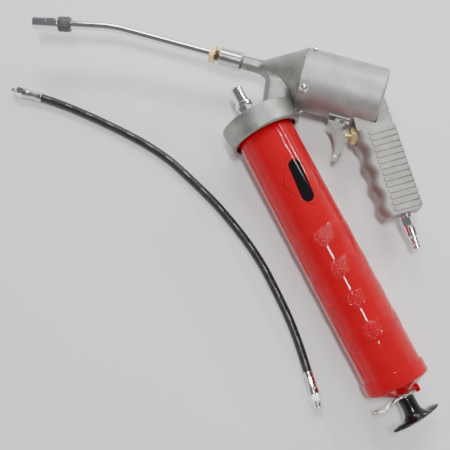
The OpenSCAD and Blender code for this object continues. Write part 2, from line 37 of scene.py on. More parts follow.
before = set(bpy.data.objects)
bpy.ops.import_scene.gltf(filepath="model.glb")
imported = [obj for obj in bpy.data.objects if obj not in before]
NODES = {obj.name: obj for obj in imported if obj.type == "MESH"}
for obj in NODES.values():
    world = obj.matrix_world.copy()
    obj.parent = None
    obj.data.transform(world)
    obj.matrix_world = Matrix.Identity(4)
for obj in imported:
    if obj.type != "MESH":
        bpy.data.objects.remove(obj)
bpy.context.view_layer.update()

# Sizes below are in millimetres, in the gun's own frame: the motor axis along X, the outlet
# towards -X, the grip towards -Y and the gun's near side towards +Z.
MM = Matrix.Scale(0.001, 4)
LAY_ROLL = math.radians(-1.02)
LAY_PITCH = math.radians(3.19)
LAY_SHIFT = Vector((37.16, 137.25, 35.31))

MOTOR_R = 31.0
MOTOR_LENGTH = 82.0
BARREL_R = 29.0
BARREL_START = 80.0
BARREL_END = 362.5
CAP_R = 30.7
HANDLE_START = 374.7
BEND_X = -187.3
BEND_RADIUS = 130.0
BEND_ANGLE = math.radians(12.4)
COUPLER_START = 29.5
GRIP_LENGTH = 90.5
HOSE_R = 4.3
THREAD_STEP = 0.25

# Where the leaning parts start, and how far they lean from -Y towards +X, in degrees.
BARREL_AT = (-81.9, 0, 43.5)
GRIP_AT = (84, -30, 33)
VALVE_AT = (69.6, -42.4, -73)
PIVOT_AT = (50.5, -37, 0)

# Route of the whip hose on the ground beside the gun, from one fitting to the other.
HOSE_ROUTE = [
    (-274.5, -81.2), (-258, -81.5), (-241, -82.8), (-225, -84.6), (-208, -87.1), (-191, -89.9),
    (-174, -93), (-158, -96.3), (-142, -100.2), (-126, -105), (-110, -110.8), (-95, -117.9),
    (-80, -125.6), (-65, -133.6), (-50, -142), (-36, -151), (-22, -160.5), (-8.5, -170.4),
    (5, -181.4), (18, -193.4), (30, -206), (42, -219), (53.5, -232.2), (64, -245.6),
    (73, -258.2), (81, -270), (89.4, -283),
]
HOSE_LIFT = (1.4, 1.0, 0.4)

CAMERA_PLACE = Vector((111.7, -134.9, 727.2))
CAMERA_AIM = Vector((7.5, -28.3, 39.9))
CAMERA_TURN = math.radians(17.1)
CAMERA_LENS = 58.0


# ---------------------------------------------------------------- places

def laid(local):
    """A local frame of the gun, in millimetres, as a matrix in the row frame, in metres."""
    turn = Matrix.Rotation(LAY_PITCH, 4, "Y") @ Matrix.Rotation(LAY_ROLL, 4, "X")
    return MM @ Matrix.Translation(LAY_SHIFT) @ turn @ local


def leaning(x, y, degrees, along=0.0):
    """Local Z leans from -Y towards +X by an angle, local X points to the rear, local Y up."""
    a = math.radians(degrees)
    turn = Matrix((
        (math.cos(a), 0, math.sin(a), x),
        (math.sin(a), 0, -math.cos(a), y),
        (0, 1, 0, 0),
        (0, 0, 0, 1),
    ))
    return turn @ Matrix.Translation((0, 0, along))


def on_motor(x):
    turn = Matrix(((0, 0, 1, x), (0, 1, 0, 0), (-1, 0, 0, 0), (0, 0, 0, 1)))
    return laid(turn)


def on_barrel(s, across=0.0):
    return laid(leaning(*BARREL_AT, s) @ Matrix.Translation((across, 0, 0)))


def on_grip(s, across=0.0):
    return laid(leaning(*GRIP_AT, s) @ Matrix.Translation((across, 0, 0)))


def on_valve(s):
    return laid(leaning(*VALVE_AT, s))


def on_coupler(s):
    x = BEND_X - BEND_RADIUS * math.sin(BEND_ANGLE)
    y = -BEND_RADIUS * (1 - math.cos(BEND_ANGLE))
    return laid(leaning(x, y, math.degrees(BEND_ANGLE) - 90, s))


def on_pivot():
    return laid(Matrix.Translation(PIVOT_AT))


def on_hose_end(last):
    """Local Z points out of the hose at its first or last ring."""
    tip, before = (HOSE_ROUTE[-1], HOSE_ROUTE[-2]) if last else (HOSE_ROUTE[0], HOSE_ROUTE[1])
    way = Vector((tip[0] - before[0], tip[1] - before[1], 0)).normalized()
    side = Vector((-way.y, way.x, 0))
    x, y, z = tip[0] + LAY_SHIFT.x, tip[1] + LAY_SHIFT.y, HOSE_R + HOSE_LIFT[0]
    turn = Matrix((
        (0, side.x, way.x, x),
        (0, side.y, way.y, y),
        (-1, 0, 0, z),
        (0, 0, 0, 1),
    ))
    return MM @ turn


# ---------------------------------------------------------------- meshes

def finish_piece(name, mesh, body, finish, place=None, stands_for=(), crease=32):
    """Links a mesh as a piece of the gun, smooth except at its creases, with its local places."""
    for polygon in mesh.polygons:
        polygon.use_smooth = True
    mesh.set_sharp_from_angle(angle=math.radians(crease))
    if place is not None:
        local = mesh.attributes.new("local_mm", "FLOAT_VECTOR", "POINT")
        back = place.inverted()
        for vertex, item in zip(mesh.vertices, local.data):
            item.vector = back @ vertex.co
    piece = bpy.data.objects.new(name, mesh)
    bpy.context.scene.collection.objects.link(piece)
    mesh.materials.clear()
    mesh.materials.append(material_named(finish))
    even = piece.modifiers.new("even_shading", "WEIGHTED_NORMAL")
    even.keep_sharp = True
    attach(piece, body)
    if stands_for:
        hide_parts(*stands_for)
    return piece


def mesh_from(name, vertices, faces, place):
    """A mesh in the row frame from local points and faces, with its faces turned outwards."""
    mesh = bpy.data.meshes.new(name)
    mesh.from_pydata([place @ Vector(v) for v in vertices], [], faces)
    work = bmesh.new()
    work.from_mesh(mesh)
    bmesh.ops.remove_doubles(work, verts=work.verts, dist=1e-6)
    bmesh.ops.recalc_face_normals(work, faces=work.faces)
    work.to_mesh(mesh)
    work.free()
    return mesh


def softened(outline, radius, steps=4, closed=False):
    """An outline with its corners rounded: radius is one number, or one for each corner."""
    count = len(outline)
    result = []
    for i, corner in enumerate(outline):
        r = radius[i] if isinstance(radius, (list, tuple)) else radius
        at_end = not closed and i in (0, count - 1)
        here = Vector(corner)
        before = Vector(outline[i - 1]) - here
        after = Vector(outline[(i + 1) % count]) - here
        if at_end or r == 0 or before.length < 1e-6 or after.length < 1e-6:
            result.append(tuple(here))
            continue
        half = before.angle(after) / 2
        if half > math.radians(88):
            result.append(tuple(here))
            continue
        reach = min(r / math.tan(half), 0.45 * before.length, 0.45 * after.length)
        start = here + before.normalized() * reach
        end = here + after.normalized() * reach
        for k in range(steps + 1):
            t = k / steps
            point = start * (1 - t) ** 2 + here * 2 * t * (1 - t) + end * t ** 2
            result.append(tuple(point))
    return result


def turned_mesh(name, rows, place, sides=96, shape=None, ring=False):
    """A lathed mesh: rows are (radius, height), and shape changes a point by its angle."""
    vertices, faces = [], []
    for radius, height in rows:
        for k in range(sides):
            a = math.tau * k / sides
            r, z = (radius, height) if shape is None else shape(radius, a, height)
            vertices.append((r * math.cos(a), r * math.sin(a), z))
    last = len(rows) if ring else len(rows) - 1
    for i in range(last):
        j = (i + 1) % len(rows)
        for k in range(sides):
            n = (k + 1) % sides
            faces.append((i * sides + k, i * sides + n, j * sides + n, j * sides + k))
    return mesh_from(name, vertices, faces, place)


def hexagon(flats):
    """A lathe shape that cuts six flats."""
    def shape(radius, a, z):
        sixth = (a + math.pi / 6) % (math.pi / 3) - math.pi / 6
        return min(radius, flats / 2 / math.cos(sixth)), z
    return shape


def spaced(start, end, step):
    """Heights from start to end, about a step apart."""
    count = max(1, round(abs(end - start) / step))
    return [start + (end - start) * k / count for k in range(count + 1)]


def thread_rows(radius, start, end):
    return [(radius, z) for z in spaced(start, end, THREAD_STEP)]


def thread_shape(pitch, depth, start, end):
    """A lathe shape that cuts a V thread between two heights, fading out at both."""
    def shape(radius, a, z):
        turn = (z / pitch - a / math.tau) % 1.0
        fade = max(0.0, min(1.0, (z - start) / pitch, (end - z) / pitch))
        cut = 2 * abs(turn - 0.5) if start < z < end else 0.0
        return radius - depth * cut * fade, z
    return shape


def swept_mesh(name, path, radius, place, sides=40):
    """A round bar along a flat path."""
    vertices, faces = [], []
    for i, point in enumerate(path):
        here = Vector(point)
        way = (Vector(path[min(i + 1, len(path) - 1)]) - Vector(path[max(i - 1, 0)])).normalized()
        side = Vector((-way.y, way.x, 0))
        for k in range(sides):
            a = math.tau * k / sides
            vertices.append(here + side * radius * math.cos(a) + Vector((0, 0, radius * math.sin(a))))
    for i in range(len(path) - 1):
        for k in range(sides):
            n = (k + 1) % sides
            faces.append((i * sides + k, i * sides + n, (i + 1) * sides + n, (i + 1) * sides + k))
    faces.append(tuple(range(sides)))
    faces.append(tuple(range((len(path) - 1) * sides, len(path) * sides)))
    return mesh_from(name, vertices, faces, place)


def slab(name, outline, near, far, place):
    """A flat plate of an outline in local X and Z, between two places along Y."""
    count = len(outline)
    vertices = [(x, near, z) for x, z in outline] + [(x, far, z) for x, z in outline]
    faces = [tuple(range(count)), tuple(range(count, 2 * count))]
    faces += [(i, (i + 1) % count, count + (i + 1) % count, count + i) for i in range(count)]
    return mesh_from(name, vertices, faces, place)


def evaluated_mesh(work, name):
    """The mesh that an object's modifiers make, as a mesh of its own. The object is removed."""
    graph = bpy.context.evaluated_depsgraph_get()
    mesh = bpy.data.meshes.new_from_object(work.evaluated_get(graph), depsgraph=graph)
    mesh.name = name
    bpy.data.objects.remove(work)
    return mesh


def melted(name, source, voxel, passes):
    """A mesh grown together and softened at its edges, as a casting or moulding is."""
    work = bpy.data.objects.new(name + "_work", source)
    bpy.context.scene.collection.objects.link(work)
    grow = work.modifiers.new("grow", "REMESH")
    grow.mode = "VOXEL"
    grow.voxel_size = voxel / 1000
    soften = work.modifiers.new("soften", "SMOOTH")
    soften.factor = 0.5
    soften.iterations = passes
    return evaluated_mesh(work, name)


def cast_from(name, node, voxel, passes):
    """A softened copy of a part of the frame."""
    return melted(name, NODES[node].data.copy(), voxel, passes)


def joined(name, meshes):
    """Several meshes as one."""
    work = bmesh.new()
    for mesh in meshes:
        work.from_mesh(mesh)
    result = bpy.data.meshes.new(name)
    work.to_mesh(result)
    work.free()
    return result


# ---------------------------------------------------------------- material parts

def add_node(tree, kind, settings=None, **inputs):
    """A node with its settings and inputs. An input that is a socket is linked."""
    node = tree.nodes.new(kind)
    for key, value in (settings or {}).items():
        setattr(node, key, value)
    for key, value in inputs.items():
        name = key.replace("_", " ")
        index = int(key[1:]) if key[0] == "i" and key[1:].isdigit() else None
        socket = node.inputs[index] if index is not None else node.inputs[name]
        if isinstance(value, bpy.types.NodeSocket):
            tree.links.new(value, socket)
        else:
            socket.default_value = value
    return node


def new_group(name, inputs, outputs):
    """A shader node group with number or vector inputs and outputs, and its two end nodes."""
    group = bpy.data.node_groups.new(name, "ShaderNodeTree")
    for key, kind, value in inputs:
        socket = group.interface.new_socket(key, in_out="INPUT", socket_type=kind)
        if value is not None:
            socket.default_value = value
    for key, kind in outputs:
        group.interface.new_socket(key, in_out="OUTPUT", socket_type=kind)
    return group, group.nodes.new("NodeGroupInput"), group.nodes.new("NodeGroupOutput")


def grain_group():
    """Fine grain and slow blotches, for cast, moulded and painted surfaces."""
    if "surface_grain" in bpy.data.node_groups:
        return bpy.data.node_groups["surface_grain"]
    group, start, end = new_group(
        "surface_grain",
        [("Place", "NodeSocketVector", None), ("Grain", "NodeSocketFloat", 2500.0),
         ("Blotch", "NodeSocketFloat", 90.0)],
        [("Fine", "NodeSocketFloat"), ("Slow", "NodeSocketFloat"), ("Pits", "NodeSocketFloat")],
    )
    place, grain, blotch = start.outputs[0], start.outputs[1], start.outputs[2]
    fine = add_node(group, "ShaderNodeTexNoise", Vector=place, Scale=grain, Detail=4.0, Roughness=0.6)
    slow = add_node(group, "ShaderNodeTexNoise", Vector=place, Scale=blotch, Detail=3.0, Roughness=0.55)
    cells = add_node(group, "ShaderNodeTexVoronoi", Vector=place, Scale=grain)
    group.links.new(fine.outputs["Fac"], end.inputs["Fine"])
    group.links.new(slow.outputs["Fac"], end.inputs["Slow"])
    group.links.new(cells.outputs["Distance"], end.inputs["Pits"])
    return group


def wear_group():
    """A mask of worn edges, from the shape's sharpness, broken up by noise."""
    if "edge_wear" in bpy.data.node_groups:
        return bpy.data.node_groups["edge_wear"]
    group, start, end = new_group(
        "edge_wear",
        [("Place", "NodeSocketVector", None), ("Amount", "NodeSocketFloat", 0.5)],
        [("Mask", "NodeSocketFloat")],
    )
    shape = group.nodes.new("ShaderNodeNewGeometry")
    breakup = add_node(group, "ShaderNodeTexNoise", Vector=start.outputs[0], Scale=450.0, Detail=3.0)
    sharp = add_node(group, "ShaderNodeMapRange", Value=shape.outputs["Pointiness"])
    sharp.inputs["From Min"].default_value = 0.52
    sharp.inputs["From Max"].default_value = 0.62
    broken = add_node(
        group, "ShaderNodeMath", {"operation": "MULTIPLY"}, i0=sharp.outputs[0], i1=breakup.outputs["Fac"])
    mask = add_node(
        group, "ShaderNodeMath", {"operation": "MULTIPLY", "use_clamp": True},
        i0=broken.outputs[0], i1=start.outputs["Amount"])
    group.links.new(mask.outputs[0], end.inputs["Mask"])
    return group


def scratch_group():
    """Long fine marks across a stretched place, for brushed and turned metal."""
    if "tool_marks" in bpy.data.node_groups:
        return bpy.data.node_groups["tool_marks"]
    group, start, end = new_group(
        "tool_marks",
        [("Place", "NodeSocketVector", None), ("Stretch", "NodeSocketVector", None)],
        [("Marks", "NodeSocketFloat")],
    )
    stretched = add_node(
        group, "ShaderNodeVectorMath", {"operation": "MULTIPLY"}, i0=start.outputs[0], i1=start.outputs[1])
    marks = add_node(group, "ShaderNodeTexNoise", Vector=stretched.outputs[0], Scale=1.0, Detail=5.0)
    group.links.new(marks.outputs["Fac"], end.inputs["Marks"])
    return group


def use_group(tree, group, **inputs):
    node = tree.nodes.new("ShaderNodeGroup")
    node.node_tree = group
    for key, value in inputs.items():
        if isinstance(value, bpy.types.NodeSocket):
            tree.links.new(value, node.inputs[key])
        else:
            node.inputs[key].default_value = value
    return node


def blank_material(name):
    """A material with its Principled shader, and the sockets of its places."""
    material = bpy.data.materials.new(name)
    material.use_nodes = True
    tree = material.node_tree
    shader = tree.nodes["Principled BSDF"]
    place = tree.nodes.new("ShaderNodeTexCoord").outputs["Object"]
    return material, tree, shader, place


def local_place(tree):
    node = tree.nodes.new("ShaderNodeAttribute")
    node.attribute_name = "local_mm"
    return node.outputs["Vector"]


def two_tones(tree, factor, dark, light, low=0.35, high=0.65):
    """A colour between dark and light by a factor."""
    ramp = add_node(tree, "ShaderNodeValToRGB", Fac=factor)
    ramp.color_ramp.elements[0].position = low
    ramp.color_ramp.elements[0].color = (*dark, 1)
    ramp.color_ramp.elements[1].position = high
    ramp.color_ramp.elements[1].color = (*light, 1)
    return ramp.outputs["Color"]


def ranged(tree, value, low, high, from_low=0.0, from_high=1.0):
    node = add_node(tree, "ShaderNodeMapRange", Value=value)
    node.inputs["From Min"].default_value = from_low
    node.inputs["From Max"].default_value = from_high
    node.inputs["To Min"].default_value = low
    node.inputs["To Max"].default_value = high
    return node.outputs[0]


def bumped(tree, height, distance, strength=1.0, over=None):
    node = add_node(tree, "ShaderNodeBump", Height=height, Distance=distance, Strength=strength)
    if over is not None:
        tree.links.new(over, node.inputs["Normal"])
    return node.outputs["Normal"]


def blended(tree, factor, first, second):
    """One colour over another by a mask."""
    node = add_node(tree, "ShaderNodeMix", {"data_type": "RGBA"}, Factor=factor)
    for socket, colour in ((node.inputs[6], first), (node.inputs[7], second)):
        if isinstance(colour, bpy.types.NodeSocket):
            tree.links.new(colour, socket)
        else:
            socket.default_value = (*colour, 1)
    return node.outputs[2]


# ---------------------------------------------------------------- materials

def cast_aluminium(name, dark, light, rough, depth):
    """Tumbled, sand-textured casting."""
    material, tree, shader, place = blank_material(name)
    grain = use_group(tree, grain_group(), Place=place, Grain=1500.0, Blotch=70.0)
    wear = use_group(tree, wear_group(), Place=place, Amount=1.2)
    colour = two_tones(tree, grain.outputs["Slow"], dark, light)
    polished = tuple(min(1.0, c * 1.25) for c in light)
    tree.links.new(blended(tree, wear.outputs["Mask"], colour, polished), shader.inputs["Base Color"])
    tree.links.new(
        ranged(tree, grain.outputs["Fine"], rough - 0.08, rough + 0.1, 0.3, 0.7), shader.inputs["Roughness"])
    shader.inputs["Metallic"].default_value = 0.85
    normal = bumped(tree, grain.outputs["Fine"], depth, 0.8)
    tree.links.new(bumped(tree, grain.outputs["Slow"], depth * 3, 0.5, normal), shader.inputs["Normal"])
    return material


def turned_metal(name, colour, rough, stretch, mark_depth, shade=0.82):
    """Metal with fine marks from the lathe or the brush, across the stretched direction."""
    material, tree, shader, place = blank_material(name)
    marks = use_group(tree, scratch_group(), Place=local_place(tree), Stretch=stretch)
    grain = use_group(tree, grain_group(), Place=place, Grain=1200.0, Blotch=60.0)
    dark = tuple(c * shade for c in colour)
    tree.links.new(two_tones(tree, marks.outputs["Marks"], dark, colour), shader.inputs["Base Color"])
    tree.links.new(
        ranged(tree, grain.outputs["Slow"], rough * 0.8, rough * 1.25, 0.3, 0.7), shader.inputs["Roughness"])
    shader.inputs["Metallic"].default_value = 1.0
    tree.links.new(bumped(tree, marks.outputs["Marks"], mark_depth, 0.6), shader.inputs["Normal"])
    return material


def bright_plate(name, colour, rough, ripple=0.00002):
    """Chrome or nickel plate with a faint ripple and smudges."""
    material, tree, shader, place = blank_material(name)
    grain = use_group(tree, grain_group(), Place=place, Grain=900.0, Blotch=140.0)
    dark = tuple(c * 0.86 for c in colour)
    tone = two_tones(tree, grain.outputs["Slow"], dark, colour, 0.3, 0.6)
    tree.links.new(tone, shader.inputs["Base Color"])
    tree.links.new(
        ranged(tree, grain.outputs["Slow"], rough * 0.6, rough * 1.6, 0.3, 0.7), shader.inputs["Roughness"])
    shader.inputs["Metallic"].default_value = 1.0
    tree.links.new(bumped(tree, grain.outputs["Slow"], ripple, 0.5), shader.inputs["Normal"])
    return material


def smooth_coat(name, colour, rough, coat, ripple=0.000001, metal=0.0, shine=0.35):
    """Paint, plastic or rubber with a slight orange peel."""
    material, tree, shader, place = blank_material(name)
    grain = use_group(tree, grain_group(), Place=place, Grain=700.0, Blotch=45.0)
    dark = tuple(c * 0.9 for c in colour)
    tone = two_tones(tree, grain.outputs["Slow"], dark, colour, 0.3, 0.7)
    tree.links.new(tone, shader.inputs["Base Color"])
    tree.links.new(
        ranged(tree, grain.outputs["Fine"], rough * 0.85, rough * 1.2, 0.3, 0.7), shader.inputs["Roughness"])
    shader.inputs["Metallic"].default_value = metal
    shader.inputs["Specular IOR Level"].default_value = shine
    shader.inputs["Coat Weight"].default_value = coat
    shader.inputs["Coat Roughness"].default_value = 0.04
    tree.links.new(bumped(tree, grain.outputs["Fine"], ripple, 0.4), shader.inputs["Normal"])
    return material


def pads_round(tree, local):
    """A mask of the six pads that each hand-hold band is divided into round the barrel."""
    parts = add_node(tree, "ShaderNodeSeparateXYZ", Vector=local)
    angle = add_node(
        tree, "ShaderNodeMath", {"operation": "ARCTAN2"}, i0=parts.outputs["Y"], i1=parts.outputs["X"])
    turns = add_node(
        tree, "ShaderNodeMath", {"operation": "MULTIPLY_ADD"}, i0=angle.outputs[0], i1=6.0,
        i2=-6 * math.radians(93))
    wave = add_node(tree, "ShaderNodeMath", {"operation": "COSINE"}, i0=turns.outputs[0])
    return ranged(tree, wave.outputs[0], 0.0, 1.0, -0.9, 0.3)


def barrel_paint(name):
    """Glossy barrel paint, stippled on the four hand-hold bands."""
    material, tree, shader, place = blank_material(name)
    colour = tuple(settings().paint_colour)
    local = local_place(tree)
    height = add_node(tree, "ShaderNodeSeparateXYZ", Vector=local).outputs["Z"]
    wave = None
    for centre in BAND_CENTRES:
        away = add_node(tree, "ShaderNodeMath", {"operation": "SUBTRACT"}, i0=height, i1=centre)
        size = add_node(tree, "ShaderNodeMath", {"operation": "ABSOLUTE"}, i0=away.outputs[0])
        mask = ranged(tree, size.outputs[0], 1.0, 0.0, BAND_HALF - 3.0, BAND_HALF + 2.0)
        if wave is None:
            wave = mask
        else:
            wave = add_node(tree, "ShaderNodeMath", {"operation": "MAXIMUM"}, i0=wave, i1=mask).outputs[0]
    wave = add_node(
        tree, "ShaderNodeMath", {"operation": "MULTIPLY"}, i0=wave, i1=pads_round(tree, local)).outputs[0]
    grain = use_group(tree, grain_group(), Place=place, Grain=750.0, Blotch=45.0)
    dark = tuple(c * 0.92 for c in colour)
    dimple = add_node(tree, "ShaderNodeMath", {"operation": "MULTIPLY"}, i0=grain.outputs["Pits"], i1=wave)
    tree.links.new(two_tones(tree, grain.outputs["Slow"], dark, colour), shader.inputs["Base Color"])
    tree.links.new(ranged(tree, wave, 0.035, 0.2), shader.inputs["Roughness"])
    shader.inputs["Specular IOR Level"].default_value = 0.17
    shader.inputs["Coat Weight"].default_value = 0.12
    shader.inputs["Coat Roughness"].default_value = 0.02
    normal = bumped(tree, dimple.outputs[0], 0.0005, 1.0)
    tree.links.new(bumped(tree, grain.outputs["Fine"], 0.000001, 0.3, normal), shader.inputs["Normal"])
    tree.links.new(normal, shader.inputs["Coat Normal"])
    return material


def cap_paint(name):
    """The barrel's paint on its end cap, with less shine."""
    return smooth_coat(name, tuple(settings().paint_colour), 0.08, 0.12, shine=0.12)


def hose_rubber(name):
    """Black rubber cover with the faint weave of the braid beneath it."""
    material, tree, shader, place = blank_material(name)
    grain = use_group(tree, grain_group(), Place=place, Grain=1400.0, Blotch=120.0)
    black = (0.012, 0.012, 0.013)
    worn = (0.03, 0.03, 0.032)
    tree.links.new(two_tones(tree, grain.outputs["Slow"], black, worn), shader.inputs["Base Color"])
    tree.links.new(ranged(tree, grain.outputs["Fine"], 0.28, 0.45, 0.3, 0.7), shader.inputs["Roughness"])
    tree.links.new(bumped(tree, grain.outputs["Pits"], 0.00012, 0.5), shader.inputs["Normal"])
    return material


def material_named(name):
    """One of the gun's finishes, made the first time it is asked for."""
    if name in bpy.data.materials:
        return bpy.data.materials[name]
    builder, *values = FINISHES[name]
    return builder(name, *values)


BAND_CENTRES = (212.0, 244.5, 276.0, 307.5)
BAND_HALF = 7.5

FINISHES = {
    "cast_body": (cast_aluminium, (0.25, 0.245, 0.235), (0.36, 0.352, 0.335), 0.42, 0.00012),
    "cast_grip": (cast_aluminium, (0.33, 0.323, 0.305), (0.42, 0.412, 0.39), 0.6, 0.00008),
    "cast_trigger": (cast_aluminium, (0.42, 0.405, 0.36), (0.56, 0.54, 0.48), 0.24, 0.00001),
    "cast_sleeve": (cast_aluminium, (0.36, 0.357, 0.35), (0.45, 0.447, 0.44), 0.52, 0.00016),
    "machined_steel": (turned_metal, (0.62, 0.62, 0.62), 0.22, (0.3, 0.3, 6.0), 0.00003),
    "knurled_steel": (turned_metal, (0.13, 0.135, 0.125), 0.25, (0.3, 0.3, 6.0), 0.00002),
    "thread_copper": (turned_metal, (0.36, 0.22, 0.15), 0.32, (0.3, 0.3, 6.0), 0.00003),
    "brass": (turned_metal, (0.56, 0.35, 0.1), 0.24, (0.3, 0.3, 5.0), 0.00003),
    "chrome": (bright_plate, (0.8, 0.81, 0.83), 0.09),
    "nickel": (bright_plate, (0.66, 0.65, 0.62), 0.2),
    "lever_plate": (bright_plate, (0.6, 0.58, 0.52), 0.18),
    "barrel_paint": (barrel_paint,),
    "cap_paint": (cap_paint,),
    "decal_black": (smooth_coat, (0.008, 0.008, 0.009), 0.08, 0.1, 0.000001, 0.0, 0.15),
    "decal_line": (smooth_coat, (0.2, 0.01, 0.012), 0.2, 0.5),
    "handle_plastic": (smooth_coat, (0.008, 0.008, 0.009), 0.2, 0.1, 0.000004),
    "dark_screw": (smooth_coat, (0.12, 0.12, 0.125), 0.35, 0.0, 0.00002, 0.9),
    "seal_rubber": (smooth_coat, (0.02, 0.02, 0.021), 0.5, 0.0, 0.00004),
    "packing": (smooth_coat, (0.42, 0.3, 0.16), 0.6, 0.0, 0.00005),
    "spring_wire": (bright_plate, (0.6, 0.6, 0.6), 0.25),
    "hose_rubber": (hose_rubber,),
    "hose_print": (smooth_coat, (0.3, 0.3, 0.31), 0.5, 0.0),
}

# What the parts of the frame that stay as they are are finished in.
FRAME_FINISHES = {
    "spring_wire": ("loader_spring", "check_spring", "valve_spring", "piston_spring", "follower_spring",
                    "coupler_spring"),
    "machined_steel": ("check_ball", "pump_plunger", "rod_stop_ring", "lever_pin", "coupler_jaws",
                       "follower_piston", "air_piston"),
    "seal_rubber": ("head_gasket", "follower_seal", "piston_seal", "valve_seal", "coupler_seal"),
    "packing": ("plunger_packing", "rod_bushing"),
    "brass": ("loader_poppet",),
    "nickel": ("trigger_pin",),
    "dark_screw": ("grip_screws",),
}


# ---------------------------------------------------------------- settings

class GreaseGunSettings(bpy.types.PropertyGroup):
    """Sizes and colours that a user would change."""

    paint_colour: bpy.props.FloatVectorProperty(
        name="Barrel Paint", description="Colour of the barrel and its end cap",
        default=(0.5, 0.005, 0.013), size=3, min=0, max=1, subtype="COLOR")
    floor_colour: bpy.props.FloatVectorProperty(
        name="Floor", description="Colour of the studio floor",
        default=(0.93, 0.93, 0.93), size=3, min=0, max=1, subtype="COLOR")
    lamp_power: bpy.props.FloatProperty(
        name="Lamp Power", description="Power of the softbox",
        default=18.0, min=0, unit="POWER")
    casting_voxel: bpy.props.FloatProperty(
        name="Casting Detail", description="Size of the smallest detail of a casting, in millimetres",
        default=0.5, min=0.3, max=2)


def settings():
    return bpy.context.scene.grease_gun


# ---------------------------------------------------------------- stage

class STAGE_OT_build(bpy.types.Operator):
    """Builds the floor, the soft studio lamps and the camera"""

    bl_idname = "grease_gun.stage"
    bl_label = "Stage"

    def execute(self, context):
        self.add_camera(context)
        self.add_floor()
        self.add_lamps()
        self.add_sky(context)
        return {"FINISHED"}

    def add_camera(self, context):
        data = bpy.data.cameras.new("camera")
        data.lens = CAMERA_LENS
        data.sensor_width = 36.0
        camera = bpy.data.objects.new("camera", data)
        context.scene.collection.objects.link(camera)
        back = (CAMERA_PLACE - CAMERA_AIM).normalized()
        up = Vector((-math.sin(CAMERA_TURN), math.cos(CAMERA_TURN), 0))
        right = up.cross(back).normalized()
        up = back.cross(right)
        turn = Matrix((right, up, back)).transposed().to_4x4()
        camera.matrix_world = Matrix.Translation(CAMERA_PLACE / 1000) @ turn
        data.clip_start = 0.01
        context.scene.camera = camera

    def add_floor(self):
        half = 6.0
        mesh = bpy.data.meshes.new("floor")
        corners = [(-half, -half, 0), (half, -half, 0), (half, half, 0), (-half, half, 0)]
        mesh.from_pydata(corners, [], [(0, 1, 2, 3)])
        floor = bpy.data.objects.new("floor", mesh)
        bpy.context.scene.collection.objects.link(floor)
        material, tree, shader, place = blank_material("floor_paper")
        colour = tuple(settings().floor_colour)
        grain = use_group(tree, grain_group(), Place=place, Grain=300.0, Blotch=3.0)
        dark = tuple(c * 0.985 for c in colour)
        tree.links.new(two_tones(tree, grain.outputs["Slow"], dark, colour), shader.inputs["Base Color"])
        shader.inputs["Roughness"].default_value = 0.9
        shader.inputs["Specular IOR Level"].default_value = 0.1
        mesh.materials.append(material)

    def add_lamps(self):
        """A softbox beyond the gun, two long tubes side by side, and a small lamp overhead."""
        power = settings().lamp_power
        barrel_way = (0.688, -0.725, 0)
        self.add_lamp("softbox", (-0.4, 1.35, 1.5), (1, 0, 0), (0.6, 0.9), power)
        self.add_lamp("tube_upper", (0.49, 1.38, 1.21), barrel_way, (0.025, 0.75), power * 0.45)
        self.add_lamp("tube_lower", (0.71, 1.59, 0.78), barrel_way, (0.025, 0.75), power * 0.45)
        self.add_lamp("overhead", (0.18, 0.0, 1.64), barrel_way, (0.11, 0.36), power * 0.8)

    def add_lamp(self, name, place, along, size, power):
        data = bpy.data.lights.new(name, "AREA")
        data.shape = "RECTANGLE"
        data.size, data.size_y = size
        data.energy = power
        lamp = bpy.data.objects.new(name, data)
        bpy.context.scene.collection.objects.link(lamp)
        back = (Vector(place) - Vector((0, 0, 0.03))).normalized()
        side = Vector(along).cross(back).normalized()
        turn = Matrix((side, back.cross(side), back)).transposed().to_4x4()
        lamp.matrix_world = Matrix.Translation(place) @ turn

    def add_sky(self, context):
        """A pale studio all round, with a dim ceiling."""
        world = bpy.data.worlds.new("studio")
        world.use_nodes = True
        tree = world.node_tree
        place = tree.nodes.new("ShaderNodeTexCoord").outputs["Generated"]
        up = add_node(tree, "ShaderNodeSeparateXYZ", Vector=place).outputs["Z"]
        sky = two_tones(tree, up, (1.0, 0.985, 0.96), (0.11, 0.112, 0.118), 0.0, 0.6)
        background = tree.nodes["Background"]
        tree.links.new(sky, background.inputs["Color"])
        background.inputs["Strength"].default_value = 1.5
        context.scene.world = world


# ---------------------------------------------------------------- whip hose

def hose_height(i):
    k = min(i, len(HOSE_ROUTE) - 1 - i)
    return HOSE_R + (HOSE_LIFT[k] if k < len(HOSE_LIFT) else 0.0)


def hose_line(per_ring=6):
    """Points along the hose's centre, in millimetres, on one smooth curve through its rings."""
    rings = [
        Vector((x + LAY_SHIFT.x, y + LAY_SHIFT.y, hose_height(i))) for i, (x, y) in enumerate(HOSE_ROUTE)]
    points = []
    for i in range(len(rings) - 1):
        a, b = rings[max(i - 1, 0)], rings[i]
        c, d = rings[i + 1], rings[min(i + 2, len(rings) - 1)]
        for k in range(per_ring):
            t = k / per_ring
            point = 0.5 * (2 * b + (c - a) * t + (2 * a - 5 * b + 4 * c - d) * t ** 2
                           + (3 * b - a - 3 * c + d) * t ** 3)
            points.append(point)
    points.append(rings[-1])
    return points


